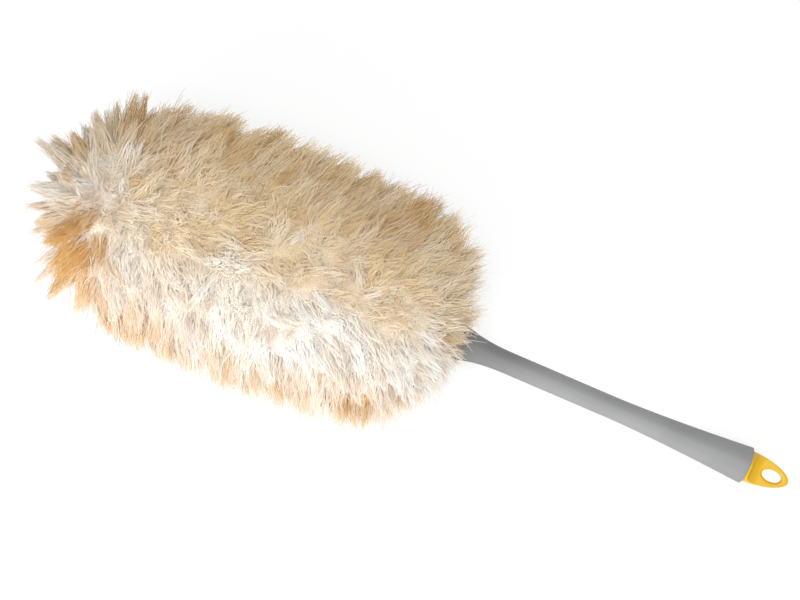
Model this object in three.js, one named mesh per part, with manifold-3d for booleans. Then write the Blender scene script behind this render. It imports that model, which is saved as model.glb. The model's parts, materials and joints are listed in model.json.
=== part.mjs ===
// A lambswool duster. A moulded handle holds a wooden rod, the rod is wound with a strip of
// woolly lambskin, and a hanging cap snaps into the handle's butt, where it can be turned.
// Millimetres, +Z up. The pieces are modelled along the handle's axis, with X = 0 at the
// handle's mouth and +X towards the butt, and the whole is then laid down on its floor.
import * as THREE from "three";
import { mergeVertices } from "three/addons/utils/BufferGeometryUtils.js";
import Module from "manifold-3d";

const wasm = await Module();
wasm.setup();

// The whole
const headLength = 350; // wool, from the handle's mouth to the foremost tips
const headRadius = 95; // to the tips of the locks
const handleLength = 238;
const restHeight = 72; // of the axis over the floor, at the middle of the wool
const seatGap = 0.3; // between two pieces that touch
const overrun = 1; // of a cutter past what it cuts

// The rod and the lambskin on it
const rodRadius = 6;
const rodEdge = 1;
const skinGap = 0.4; // between the rod and the skin, and between the skin and the wool
const skinThickness = 2.4;
const skinEdge = 0.8;
const stripWidth = 39.4;
const turnGap = 0.6; // between two turns of the strip
const stripSetback = 2; // of the strip from the rod's front end
const stripTuck = 6; // of the strip into the handle's mouth
const tipWool = 66; // from the skin on the rod's end to the foremost tips

// The handle
const socketPlay = 0.8;
const neckWall = 1.8;
const flareRise = 5.9; // of the mouth over the neck
const flareLength = 46;
const flarePower = 2.8;
const swellRise = 6; // of the butt over the neck
const swellLength = 112;
const swellPower = 1.55;
const handleWall = 2.3;
const handleEdge = 0.8;
const bellDepth = 14; // of the cone in the mouth that takes the strip's end
const socketDepth = 70;
const webThickness = 2.5;
const ventRadius = 1.5; // lets the air out when the rod is pressed in
const ribCount = 4;
const ribWidth = 1.6;
const lipLength = 5;
const grooveLength = 5;
const leadChamfer = 0.6;

// The hanging cap
const capLength = 34; // that shows
const capInset = 2.4; // of the cap from the butt's edge
const capTaper = 1.7;
const capEdge = 0.5;
const shoulderWidth = 2.2;
const snapClearance = 0.4;
const beadHook = 0.4;
const beadLength = 2;
const leadLength = 1.8;
const spigotLength = 9.5;
const fingerThickness = 1.8;
const slotWidth = 3;
const slotRoot = 1.5;
const coreDepth = 4.5;
const coreTipRadius = 2;
const collarLength = 2;
const tongueThickness = 5.4;
const holeLength = 15.8;
const holeWidth = 9;
const holeWall = 5.8;
const holeChamfer = 0.8;
const flatLead = 1; // of the flat face before the hole

// The tacks
const tackHeadRadius = 2.6;
const tackHeadHeight = 0.9;
const tackShankRadius = 0.7;
const tackLength = 6;
const tackPoint = 1.5;
const tackSink = 0.3; // of the head under the skin's surface
const tackTurnShare = 0.1; // of a turn from the strip's end
const tackWidthShares = [0.32, 0.68];

// The wool
const noseLength = 120;
const rumpLength = 62;
const rumpPower = 2.1;
const rumpSetback = 5; // of the dense wool from the mouth
const mouthGap = 0.3;
const woolDrift = 3; // of the wool's middle off the rod, to one side, where the nose starts
const lockReach = 15; // of a lock's tip over the dense wool between the locks
const lockCount = 20; // in a ring
const lockStep = 18.5; // from one ring of locks to the next, which is set between them
const lockJitter = 3.5;
const rumpReachShare = 0.4; // of a lock's reach that is left straight behind the wool
const lockSweep = 6; // of a lock's tip towards the handle
const leanShare = 0.3; // of wool towards the handle, for each unit outwards
const reachShares = [0.62, 1];
const waistShare = 0.6; // of a lock's width, at its waist
const waistHeightShare = 0.5;
const sliceShares = [0.25, 0.5, 0.75]; // of the head, where its four slices meet
const sliceGap = 0.3;
const seed = 20;

// How finely the curves are cut
const handleSides = 32;
const rodSides = 24;
const tackSides = 12;
const stripSides = 15; // to a turn
const woolSides = 24;
const holeSides = 24;
const flareSteps = 7;
const swellSteps = 8;
const hollowSteps = 4;
const ogiveSteps = 12;
const ogiveSkip = 2; // its first steps are all but straight
const scoopSteps = 6;
const endSteps = 8; // of the dense wool's nose and of its rump
const mergeTolerance = 0.001;
const sliverTolerance = 0.02; // of the cut wool

const materials = {
  handle: new THREE.MeshStandardMaterial({ color: 0xa6a7a8, roughness: 0.5, metalness: 0 }),
  cap: new THREE.MeshStandardMaterial({ color: 0xdcb02c, roughness: 0.3, metalness: 0 }),
  wood: new THREE.MeshStandardMaterial({ color: 0xd6b483, roughness: 0.7, metalness: 0 }),
  skin: new THREE.MeshStandardMaterial({ color: 0xcdbb9c, roughness: 0.9, metalness: 0 }),
  steel: new THREE.MeshStandardMaterial({ color: 0x9a9c9e, roughness: 0.4, metalness: 1 }),
  wool: new THREE.MeshStandardMaterial({ color: 0xe2d2b6, roughness: 1, metalness: 0 }),
};

// Sizes that pieces share
const skinInner = rodRadius + skinGap;
const skinOuter = skinInner + skinThickness;
const rodFront = headLength - tipWool - skinThickness - seatGap; // ahead of the mouth
const pitch = stripWidth + turnGap;
const stripStart = -(rodFront - stripSetback);
const stripTurns = (stripTuck - stripWidth - stripStart) / pitch;
const socketRadius = rodRadius + socketPlay;
const neckRadius = socketRadius + neckWall;
const neckEnd = handleLength - swellLength;
const buttRadius = neckRadius + swellRise;
const capRootRadius = buttRadius - capInset;
const lipRadius = capRootRadius - shoulderWidth;
const pilotRadius = tackShankRadius + seatGap;
const tackRecessRadius = tackHeadRadius + seatGap;
const denseRadius = headRadius - lockReach;

// Solids from geometries, and back

// A closed geometry as a solid, with its vertices merged by place and slivers left out.
function solidOf(geometry) {
  const bare = new THREE.BufferGeometry();
  bare.setAttribute("position", geometry.getAttribute("position"));
  bare.setIndex(geometry.index);
  const merged = mergeVertices(bare, mergeTolerance);
  const corners = merged.index.array;
  const triVerts = [];
  for (let i = 0; i < corners.length; i += 3) {
    const [a, b, c] = corners.slice(i, i + 3);
    if (a !== b && b !== c && c !== a) triVerts.push(a, b, c);
  }
  const vertProperties = merged.getAttribute("position").array;
  return new wasm.Manifold(
    new wasm.Mesh({ numProp: 3, vertProperties, triVerts: new Uint32Array(triVerts) }),
  );
}

function pieceOf(name, solid, material) {
  const { vertProperties, triVerts } = solid.getMesh();
  const geometry = new THREE.BufferGeometry();
  geometry.setAttribute("position", new THREE.BufferAttribute(vertProperties, 3));
  geometry.setIndex(new THREE.BufferAttribute(triVerts, 1));
  geometry.computeVertexNormals();
  const mesh = new THREE.Mesh(geometry, material);
  mesh.name = name;
  return mesh;
}

// A profile of [along, radius] points, turned about the X axis. It runs towards +X on its
// outside, and starts and ends on the axis or where it started.
function revolved(profile, sides, matrix = new THREE.Matrix4()) {
  const points = profile.map(([along, radius]) => new THREE.Vector2(radius, along));
  const lathe = new THREE.LatheGeometry(points, sides).rotateZ(-Math.PI / 2);
  return solidOf(lathe.applyMatrix4(matrix));
}

// Rings of as many points each, joined in order and closed at both ends.
function lofted(rings) {
  const count = rings[0].length;
  const corners = [];
  for (let ring = 0; ring < rings.length - 1; ring++) {
    for (let i = 0; i < count; i++) {
      const a = ring * count + i;
      const b = ring * count + ((i + 1) % count);
      corners.push(a, b, b + count, a, b + count, a + count);
    }
  }
  const last = (rings.length - 1) * count;
  for (let i = 1; i < count - 1; i++) {
    corners.push(0, i + 1, i, last, last + i, last + i + 1);
  }
  const geometry = new THREE.BufferGeometry().setFromPoints(rings.flat());
  return solidOf(geometry.setIndex(corners));
}

function box(from, to, turn = 0) {
  const size = new THREE.Vector3().subVectors(to, from);
  const middle = new THREE.Vector3().addVectors(to, from).multiplyScalar(1 / 2);
  const geometry = new THREE.BoxGeometry(size.x, size.y, size.z);
  return solidOf(geometry.translate(middle.x, middle.y, middle.z).rotateX(turn));
}

// A point at a height along the axis, a radius from it and an angle about it from +Z.
function around(along, radius, angle) {
  return new THREE.Vector3(along, radius * Math.sin(angle), radius * Math.cos(angle));
}

const steps = (count) => Array.from({ length: count + 1 }, (_, i) => i / count);
const turnsOf = (count) => Array.from({ length: count }, (_, i) => (i / count) * 2 * Math.PI);

// The handle

// The outside: a flare at the mouth, a straight neck and a swell to the butt.
function handleRadius(along) {
  const flare = Math.max(0, 1 - along / flareLength) ** flarePower;
  const swell = Math.max(0, (along - neckEnd) / swellLength) ** swellPower;
  return neckRadius + flareRise * flare + swellRise * swell;
}

function handleOutside() {
  const flare = steps(flareSteps).map((share) => handleEdge + (flareLength - handleEdge) * share);
  const swell = steps(swellSteps).map((share) => neckEnd + (swellLength - handleEdge) * share);
  const curve = [...flare, ...swell].map((along) => [along, handleRadius(along)]);
  const mouth = [0, handleRadius(handleEdge) - handleEdge];
  return [mouth, ...curve, [handleLength, buttRadius - handleEdge]];
}

// From the butt to the mouth: the lip that the cap snaps behind, the hollow that follows the
// outside, the web that stops the rod, the socket, and the cone that takes the strip's end.
function handleInside() {
  const grooveEnd = handleLength - lipLength;
  const grooveStart = grooveEnd - grooveLength;
  const grooveRadius = lipRadius + beadHook + snapClearance;
  const hollowRadius = (along) => handleRadius(along) - handleWall;
  const hollow = steps(hollowSteps).map((share) => grooveStart + (neckEnd - grooveStart) * share);
  const webEnd = socketDepth + webThickness;
  return [
    [handleLength, lipRadius + leadChamfer],
    [handleLength - leadChamfer, lipRadius],
    [grooveEnd, lipRadius],
    [grooveEnd, grooveRadius],
    [grooveStart, grooveRadius],
    ...hollow.map((along) => [along, hollowRadius(along)]),
    [webEnd, neckRadius - handleWall],
    [webEnd, ventRadius],
    [socketDepth, ventRadius],
    [socketDepth, socketRadius],
    [bellDepth, socketRadius],
    [0, handleRadius(0) - handleWall - handleEdge],
  ];
}

function handleShell() {
  const outside = handleOutside();
  const profile = [...outside, ...handleInside(), outside[0]];
  const ribs = turnsOf(ribCount).map((turn) => {
    const from = new THREE.Vector3(bellDepth + overrun, -ribWidth / 2, rodRadius + seatGap);
    const to = new THREE.Vector3(socketDepth + overrun, ribWidth / 2, socketRadius + neckWall / 2);
    return box(from, to, turn);
  });
  return wasm.Manifold.union([revolved(profile, handleSides), ...ribs]);
}

// The hanging cap

const capStart = handleLength + seatGap;
const capEnd = capStart + capLength;
const holeMiddle = capEnd - holeWall - holeLength / 2;

// The outside is a round ogive: round at the butt, and the outline of the flat tongue.
function capBody() {
  const ogive = steps(ogiveSteps).map((share) => {
    const along = Math.sin((share * Math.PI) / 2);
    return [capStart + capLength * along, capRootRadius * Math.sqrt(1 - along ** capTaper)];
  });
  const start = [
    [capStart, 0],
    [capStart, capRootRadius - capEdge],
    [capStart + capEdge, capRootRadius],
  ];
  return revolved([...start, ...ogive.slice(ogiveSkip)], handleSides);
}

// One side is hollowed down to the tongue's flat face, behind the round collar.
function capScoop(side) {
  const flatStart = holeMiddle - holeLength / 2 - flatLead;
  const scoopStart = capStart + collarLength;
  const scoopRadius = flatStart - scoopStart;
  const face = tongueThickness / 2;
  const top = Math.max(capRootRadius, face + scoopRadius) + overrun;
  const shape = new THREE.Shape();
  shape.moveTo(capEnd + overrun, face);
  shape.lineTo(capEnd + overrun, top);
  shape.lineTo(scoopStart, top);
  shape.absarc(flatStart, face + scoopRadius, scoopRadius, Math.PI, (3 * Math.PI) / 2);
  const depth = 2 * (capRootRadius + overrun);
  const finish = { depth, bevelEnabled: false, curveSegments: scoopSteps };
  const block = new THREE.ExtrudeGeometry(shape, finish);
  block.translate(0, 0, -depth / 2).rotateX(Math.PI / 2);
  return solidOf(block.rotateX(side > 0 ? 0 : Math.PI));
}

// The oval hole, with its edges broken on both faces.
function capHole() {
  const face = tongueThickness / 2;
  const flare = holeChamfer + overrun;
  const levels = [
    [-face - overrun, flare],
    [-face + holeChamfer, 0],
    [face - holeChamfer, 0],
    [face + overrun, flare],
  ];
  const rings = levels.map(([height, growth]) =>
    turnsOf(holeSides).map((angle) => {
      const x = holeMiddle + (holeLength / 2 + growth) * Math.cos(angle);
      return new THREE.Vector3(x, (holeWidth / 2 + growth) * Math.sin(angle), height);
    }),
  );
  return lofted(rings);
}

// Four snap fingers, whose bead hooks behind the handle's lip and lets the cap turn.
function capSpigot() {
  const radius = lipRadius - snapClearance;
  const tip = capStart - spigotLength;
  const beadEnd = handleLength - lipLength - snapClearance;
  const beadStart = beadEnd - beadLength;
  const bead = lipRadius + beadHook;
  return revolved(
    [
      [tip, 0],
      [tip, radius - beadHook],
      [Math.max(beadStart - leadLength, tip + capEdge), radius],
      [beadStart, bead],
      [beadEnd, bead],
      [beadEnd, radius],
      [capStart + overrun, radius],
      [capStart + overrun, 0],
    ],
    handleSides,
  );
}

function hangCap() {
  const inner = lipRadius - snapClearance - fingerThickness;
  const tip = capStart - spigotLength - overrun;
  const core = revolved(
    [
      [tip, 0],
      [tip, inner],
      [capStart, inner],
      [capStart + coreDepth, coreTipRadius],
      [capStart + coreDepth, 0],
    ],
    handleSides,
  );
  const reach = buttRadius;
  const slotFrom = new THREE.Vector3(tip, -slotWidth / 2, -reach);
  const slotTo = new THREE.Vector3(capStart - slotRoot, slotWidth / 2, reach);
  const cutters = [core, box(slotFrom, slotTo), box(slotFrom, slotTo, Math.PI / 2)];
  cutters.push(capScoop(1), capScoop(-1), capHole());
  return capBody().add(capSpigot()).subtract(wasm.Manifold.union(cutters));
}

// The tacks, each along an axis of its own that points out of the head

const outwards = (angle) =>
  new THREE.Matrix4().makeRotationX(-angle).multiply(new THREE.Matrix4().makeRotationY(-Math.PI / 2));
const forwards = new THREE.Matrix4().makeRotationY(Math.PI);

// Where each strip tack goes: two near each end of the strip.
function stripTackPlaces() {
  const turns = [tackTurnShare, stripTurns - tackTurnShare];
  return turns.flatMap((turn) =>
    tackWidthShares.map((share) => {
      const along = stripStart + pitch * turn + stripWidth * share;
      const matrix = new THREE.Matrix4().makeTranslation(along, 0, 0);
      return matrix.multiply(outwards(turn * 2 * Math.PI));
    }),
  );
}

function tack(skinFace, matrix) {
  const top = skinFace - tackSink;
  const seat = top - tackHeadHeight;
  return revolved(
    [
      [seat - tackLength, 0],
      [seat - tackLength + tackPoint, tackShankRadius],
      [seat, tackShankRadius],
      [seat, tackHeadRadius],
      [seat + tackHeadHeight / 2, tackHeadRadius],
      [top, tackHeadRadius / 2],
      [top, 0],
    ],
    tackSides,
    matrix,
  );
}

// The pilot hole for a tack, and the dint that its head makes in the skin.
function tackCutter(skinFace, matrix) {
  const seat = skinFace - tackSink - tackHeadHeight;
  return revolved(
    [
      [seat - tackLength - seatGap, 0],
      [seat - tackLength - seatGap, pilotRadius],
      [seat - seatGap, pilotRadius],
      [seat - seatGap, tackRecessRadius],
      [skinFace + overrun, tackRecessRadius],
      [skinFace + overrun, 0],
    ],
    tackSides,
    matrix,
  );
}

// The rod, the strip and the patch on the rod's end

const tipFace = rodFront + seatGap + skinThickness; // ahead of the mouth

function coreRod(cutters) {
  const back = socketDepth - seatGap;
  const rod = revolved(
    [
      [-rodFront, 0],
      [-rodFront, rodRadius - rodEdge],
      [-rodFront + rodEdge, rodRadius],
      [back - rodEdge, rodRadius],
      [back, rodRadius - rodEdge],
      [back, 0],
    ],
    rodSides,
  );
  return rod.subtract(cutters);
}

function peltStrip(cutters) {
  const count = Math.ceil(stripTurns * stripSides);
  const rings = steps(count).map((share) => {
    const turn = share * stripTurns;
    const low = stripStart + pitch * turn;
    const angle = turn * 2 * Math.PI;
    return [
      around(low, skinOuter, angle),
      around(low + stripWidth, skinOuter, angle),
      around(low + stripWidth, skinInner, angle),
      around(low, skinInner, angle),
    ];
  });
  return lofted(rings).subtract(cutters);
}

function tipPelt(cutter) {
  const back = rodFront + seatGap;
  const patch = revolved(
    [
      [back, 0],
      [back, skinOuter],
      [tipFace - skinEdge, skinOuter],
      [tipFace, skinOuter - skinEdge],
      [tipFace, 0],
    ],
    rodSides,
    forwards,
  );
  return patch.subtract(cutter);
}

// The wool

// A repeatable stream of chance values from 0 to 1.
function chance(start) {
  let state = start;
  return () => {
    state = (state + 0x6d2b79f5) | 0;
    let mixed = Math.imul(state ^ (state >>> 15), 1 | state);
    mixed = (mixed + Math.imul(mixed ^ (mixed >>> 7), 61 | mixed)) ^ mixed;
    return ((mixed ^ (mixed >>> 14)) >>> 0) / 2 ** 32;
  };
}

// The dense wool between the locks, from nose to rump: an ellipse, a straight run and a blunt end.
function denseProfile() {
  const noseMiddle = -(headLength - lockReach) + noseLength;
  const rumpMiddle = -rumpSetback - rumpLength;
  const nose = steps(endSteps).map((share) => {
    const angle = (share * Math.PI) / 2;
    const along = noseMiddle - noseLength * Math.cos(angle);
    return new THREE.Vector2(along, denseRadius * Math.sin(angle));
  });
  const rump = steps(endSteps).map((share) => {
    const angle = (share * Math.PI) / 2;
    const along = rumpMiddle + rumpLength * Math.sin(angle) ** (2 / rumpPower);
    return new THREE.Vector2(along, denseRadius * Math.max(0, Math.cos(angle)) ** (2 / rumpPower));
  });
  rump.at(-1).y = 0;
  return [...nose, ...rump];
}

// Evenly spaced stations along the profile, each with the direction out of the wool.
function wayStations() {
  const path = new THREE.CurvePath();
  const profile = denseProfile();
  profile.slice(1).forEach((to, i) => path.add(new THREE.LineCurve(profile[i], to)));
  const count = Math.round(path.getLength() / lockStep);
  return steps(count).map((share) => {
    const way = path.getTangentAt(share);
    return { at: path.getPointAt(share), outwards: new THREE.Vector2(-way.y, way.x) };
  });
}

// The wool sags to one side of its rod, more and more up to where the nose starts.
function drifted(point) {
  point.y -= woolDrift * THREE.MathUtils.clamp(-point.x / (headLength - noseLength), 0, 1);
  return point;
}

// The whole wool as one closed skin of locks. The hollows between the locks are rings of points,
// each ring turned half a step to the last, and every four neighbours carry one lock: a waist
// of four points and a tip, which lean and bend towards the handle.
function wool() {
  const draw = chance(seed);
  const stations = wayStations();
  const last = stations.length - 1;
  const angleOf = (ring, k) => (2 * Math.PI * (k + (ring % 2) / 2)) / lockCount;
  const hollows = stations.map(({ at, outwards }, ring) =>
    turnsOf(lockCount).map((_, k) => {
      const rise = ring === 0 || ring === last ? 0 : lockJitter * (draw() - 1 / 2);
      const spot = at.clone().addScaledVector(outwards, rise);
      return around(spot.x, Math.max(0, spot.y), angleOf(ring, k));
    }),
  );
  const points = [];
  const corners = [];
  for (let ring = 1; ring < last; ring++) {
    for (let k = 0; k < lockCount; k++) {
      const beside = (k + 1) % lockCount;
      const between = ring % 2 ? beside : k;
      const foot = [
        hollows[ring - 1][between],
        hollows[ring][k],
        hollows[ring + 1][between],
        hollows[ring][beside],
      ];
      const { at, outwards } = stations[ring];
      const angle = angleOf(ring, k + 1 / 2);
      const share = reachShares[0] + (reachShares[1] - reachShares[0]) * draw();
      const behind = 1 - (1 - rumpReachShare) * Math.max(0, outwards.x);
      const reach = lockReach * share * behind;
      const lean = leanShare * outwards.y;
      const growth = around(outwards.x + lean, outwards.y, angle).multiplyScalar(reach);
      const astray = ((2 * draw() - 1) * lockJitter * at.y) / denseRadius;
      growth.addScaledVector(around(0, 1, angle + Math.PI / 2), astray);
      const middle = foot.reduce((sum, point) => sum.add(point), new THREE.Vector3());
      middle.multiplyScalar(1 / foot.length);
      const tip = middle.clone().add(growth);
      tip.x += lockSweep * outwards.y;
      const waist = foot.map((point) =>
        middle.clone().lerp(point, waistShare).addScaledVector(growth, waistHeightShare),
      );
      const first = points.length;
      points.push(...foot, ...waist, tip);
      for (let i = 0; i < foot.length; i++) {
        const next = (i + 1) % foot.length;
        const [a, b, c, d] = [i, next, foot.length + next, foot.length + i];
        corners.push(...[a, b, c, a, c, d, d, c, 2 * foot.length].map((corner) => first + corner));
      }
    }
  }
  return solidOf(new THREE.BufferGeometry().setFromPoints(points.map(drifted)).setIndex(corners));
}

// The space between two of the leaning cones where the slices of wool meet.
function sliceSpace(from, to) {
  const reach = 2 * headRadius;
  const low = from + sliceGap / 2;
  const high = to - sliceGap / 2;
  const shift = leanShare * reach;
  return revolved(
    [
      [low, 0],
      [low + shift, reach],
      [high + shift, reach],
      [high, 0],
    ],
    woolSides,
  );
}

// Offcuts of a trimmed lock fall away, so the largest body is the wool.
function largest(solid) {
  return solid.decompose().reduce((best, body) => (body.volume() > best.volume() ? body : best));
}

// The four slices of wool, from the tip to the handle, without what lies under the floor.
function fleeces(underFloor) {
  const bore = revolved(
    [
      [-tipFace - seatGap, 0],
      [-tipFace - seatGap, skinOuter + skinGap],
      [handleLength, skinOuter + skinGap],
      [handleLength, 0],
    ],
    rodSides,
  );
  const handleSpace = revolved(
    [
      [-mouthGap, 0],
      [-mouthGap, handleRadius(0) + seatGap],
      [flareLength, handleRadius(0) + seatGap],
      [flareLength, 0],
    ],
    handleSides,
  );
  const whole = wool().subtract(wasm.Manifold.union([bore, handleSpace, underFloor]));
  const inner = sliceShares.map((share) => -headLength * (1 - share) - leanShare * denseRadius);
  const edges = [-2 * headLength, ...inner, headLength];
  return inner.concat(headLength).map((edge, i) => {
    const slice = whole.intersect(sliceSpace(edges[i], edge));
    return largest(slice.simplify(sliverTolerance));
  });
}

// How the duster lies: on its wool and on the lowest point of its butt

const span = handleLength + headLength / 2;
const diagonal = Math.hypot(span, buttRadius);
const tilt = Math.asin(restHeight / diagonal) - Math.atan2(buttRadius, span);

function floorUnder(handle) {
  const turn = new THREE.Matrix4().makeRotationY(tilt);
  const laid = pieceOf("handle", handle, materials.handle).geometry.applyMatrix4(turn);
  laid.computeBoundingBox();
  const size = 4 * headLength;
  const block = new THREE.BoxGeometry(size, size, size);
  block.translate(0, 0, laid.boundingBox.min.z - size / 2);
  return solidOf(block.applyMatrix4(turn.invert()));
}

function duster() {
  const group = new THREE.Group();
  const handle = handleShell();
  const places = stripTackPlaces();
  const stripCutters = wasm.Manifold.union(places.map((place) => tackCutter(skinOuter, place)));
  const tipCutter = tackCutter(tipFace, forwards);
  group.add(pieceOf("handle_shell", handle, materials.handle));
  group.add(pieceOf("hang_cap", hangCap(), materials.cap));
  group.add(pieceOf("core_rod", coreRod(stripCutters.add(tipCutter)), materials.wood));
  group.add(pieceOf("pelt_strip", peltStrip(stripCutters), materials.skin));
  group.add(pieceOf("tip_pelt", tipPelt(tipCutter), materials.skin));
  group.add(pieceOf("tip_tack", tack(tipFace, forwards), materials.steel));
  places.forEach((place, i) => {
    group.add(pieceOf(`strip_tack_${i + 1}`, tack(skinOuter, place), materials.steel));
  });
  const names = ["fleece_tip", "fleece_front", "fleece_middle", "fleece_rear"];
  fleeces(floorUnder(handle)).forEach((solid, i) => {
    group.add(pieceOf(names[i], solid, materials.wool));
  });
  return group;
}

// The origin is the middle of the underside of the laid duster's box.
const laid = new THREE.Group();
laid.add(duster());
laid.children[0].rotation.y = tilt;
const bounds = new THREE.Box3().setFromObject(laid, true);
const middle = bounds.getCenter(new THREE.Vector3());
laid.position.set(-middle.x, -middle.y, -bounds.min.z);

export default laid;
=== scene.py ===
# A lambswool duster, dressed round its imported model: long wool in swept locks over a dense
# undercoat, a satin grey handle and a glossy yellow hanging cap, on a white studio floor.
import json
import math

import bmesh
import bpy
import numpy as np
from mathutils import Matrix, Vector


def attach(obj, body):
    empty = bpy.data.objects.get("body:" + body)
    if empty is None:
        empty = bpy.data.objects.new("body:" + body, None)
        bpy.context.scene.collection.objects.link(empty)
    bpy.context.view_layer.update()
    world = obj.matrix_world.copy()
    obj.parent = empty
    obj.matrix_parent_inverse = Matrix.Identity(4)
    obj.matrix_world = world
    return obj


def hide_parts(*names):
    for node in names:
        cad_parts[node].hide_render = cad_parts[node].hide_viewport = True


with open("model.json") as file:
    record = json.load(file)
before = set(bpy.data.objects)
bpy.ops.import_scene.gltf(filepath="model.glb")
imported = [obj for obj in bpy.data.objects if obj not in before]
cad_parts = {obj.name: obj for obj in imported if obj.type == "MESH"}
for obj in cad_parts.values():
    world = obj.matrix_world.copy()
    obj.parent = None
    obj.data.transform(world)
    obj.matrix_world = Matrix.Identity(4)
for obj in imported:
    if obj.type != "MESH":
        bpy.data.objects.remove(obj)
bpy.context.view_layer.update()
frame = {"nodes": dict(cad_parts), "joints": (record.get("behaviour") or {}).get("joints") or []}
scene = bpy.context.scene
nodes = frame["nodes"]
print("frame loaded:", len(nodes), "solids")


# The duster's own axes: X from the handle's mouth to its butt, Y across, Z up off the floor
swivel = frame["joints"][0]
handleAxis = Vector(swivel["axis"]).normalized()
upAxis = (Vector((0, 0, 1)) - handleAxis * handleAxis.z).normalized()
acrossAxis = upAxis.cross(handleAxis)


def frameAt(point, first, second, third):
    return Matrix.Translation(point) @ Matrix((first, second, third)).transposed().to_4x4()


shellSpots = np.array([v.co for v in nodes["handle_shell"].data.vertices])
mouthShift = float(((shellSpots - np.array(swivel["pos_m"])) @ np.array(handleAxis)).min())
mouthPoint = Vector(swivel["pos_m"]) + handleAxis * mouthShift
dusterFrame = frameAt(mouthPoint, handleAxis, acrossAxis, upAxis)
floorUp = Vector((0, 0, 1)) @ dusterFrame.to_3x3()  # the floor's up, in the duster's axes
floorDrop = mouthPoint.z  # the floor lies this far under the mouth
mergeDistance = 1e-6


def heightOverFloor(spots):
    return spots @ np.array(floorUp) + floorDrop


def shareOf(value, start, length):
    return np.clip((value - start) / length, 0, 1)


def normal(vectors, least=1e-9):
    return vectors / np.maximum(np.linalg.norm(vectors, axis=-1, keepdims=True), least)


def addPiece(name, mesh, body, slot, *replaced):
    piece = bpy.data.objects.new(name, mesh)
    scene.collection.objects.link(piece)
    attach(piece, body)
    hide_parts(*replaced)


def finishMesh(bm, name, material):
    mesh = bpy.data.meshes.new(name)
    bmesh.ops.recalc_face_normals(bm, faces=bm.faces)
    bm.to_mesh(mesh)
    bm.free()
    mesh.materials.append(material)
    mesh.transform(dusterFrame)
    mesh.shade_smooth()
    return mesh


def spinProfile(profile, sides):
    bm = bmesh.new()
    verts = [bm.verts.new((x, 0, radius)) for x, radius in profile]
    edges = [bm.edges.new(pair) for pair in zip(verts, verts[1:])]
    edges.append(bm.edges.new((verts[-1], verts[0])))
    bmesh.ops.spin(bm, geom=verts + edges, cent=(0, 0, 0), axis=(1, 0, 0), dvec=(0, 0, 0),
                   angle=2 * math.pi, steps=sides, use_merge=True, use_normal_flip=False,
                   use_duplicate=False)
    bmesh.ops.remove_doubles(bm, verts=bm.verts, dist=mergeDistance)
    return bm


def addMap(mesh, across, upwards):
    layer = mesh.uv_layers.new(name="OFBake")
    places = np.stack([across, upwards], axis=-1)
    layer.uv.foreach_set("vector", places.astype(np.float32).ravel())


def setNormals(mesh, normals):
    turned = normals @ np.array(dusterFrame.to_3x3()).T
    mesh.normals_split_custom_set_from_vertices(turned.reshape(-1, 3))


# Nodes for the materials
def startMaterial(name):
    material = bpy.data.materials.new(name)
    material.use_nodes = True
    tree = material.node_tree
    shader = tree.nodes["Principled BSDF"]
    return material, tree, shader


def addNode(tree, kind, values=None, **settings):
    node = tree.nodes.new(kind)
    for setting, value in settings.items():
        setattr(node, setting, value)
    for socket, value in (values or {}).items():
        node.inputs[socket].default_value = value
    return node


def join(tree, source, target):
    tree.links.new(source, target)


def addMath(tree, operation, first, second=None, third=None):
    node = addNode(tree, "ShaderNodeMath", operation=operation)
    for place, value in enumerate((first, second, third)):
        if value is None:
            continue
        if isinstance(value, (int, float)):
            node.inputs[place].default_value = value
        else:
            join(tree, value, node.inputs[place])
    return node.outputs[0]


def addRamp(tree, factor, stops, smooth=True):
    node = addNode(tree, "ShaderNodeValToRGB")
    node.color_ramp.interpolation = "EASE" if smooth else "LINEAR"
    for place, (position, value) in enumerate(stops):
        element = (node.color_ramp.elements[place] if place < 2
                   else node.color_ramp.elements.new(position))
        element.position = position
        element.color = (*value, 1) if isinstance(value, tuple) else (value, value, value, 1)
    join(tree, factor, node.inputs["Fac"])
    return node.outputs["Color"]


def addMix(tree, factor, first, second, blend="MIX"):
    node = addNode(tree, "ShaderNodeMix", data_type="RGBA", blend_type=blend)
    sockets = node.inputs[0], node.inputs[6], node.inputs[7]  # its factor and its two colours
    for socket, value in zip(sockets, (factor, first, second)):
        if isinstance(value, (int, float)):
            socket.default_value = value
        elif isinstance(value, tuple):
            socket.default_value = (*value, 1)
        else:
            join(tree, value, socket)
    return node.outputs[2]


def addObjectNoise(tree, scale, detail=3.0, stretch=(1, 1, 1)):
    place = addNode(tree, "ShaderNodeTexCoord")
    mapping = addNode(tree, "ShaderNodeMapping", {"Scale": stretch})
    noise = addNode(tree, "ShaderNodeTexNoise", {"Scale": scale, "Detail": detail})
    join(tree, place.outputs["Object"], mapping.inputs["Vector"])
    join(tree, mapping.outputs["Vector"], noise.inputs["Vector"])
    return noise.outputs["Fac"]


noiseLow, noiseHigh = 0.3, 0.7  # between these a noise blends two colours


def blendByNoise(tree, noise, dark, light):
    return addRamp(tree, noise, [(noiseLow, dark), (noiseHigh, light)])


def addBump(tree, shader, height, strength, distance):
    bump = addNode(tree, "ShaderNodeBump", {"Strength": strength, "Distance": distance})
    join(tree, height, bump.inputs["Height"])
    join(tree, bump.outputs["Normal"], shader.inputs["Normal"])


# One for rays from the camera, straight or by way of a mirror or a glass, and nought for others
def addSeen(tree):
    path = addNode(tree, "ShaderNodeLightPath")
    byWay = addMath(tree, "MAXIMUM", path.outputs["Is Glossy Ray"],
                    path.outputs["Is Transmission Ray"])
    return addMath(tree, "MAXIMUM", path.outputs["Is Camera Ray"], byWay)


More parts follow.
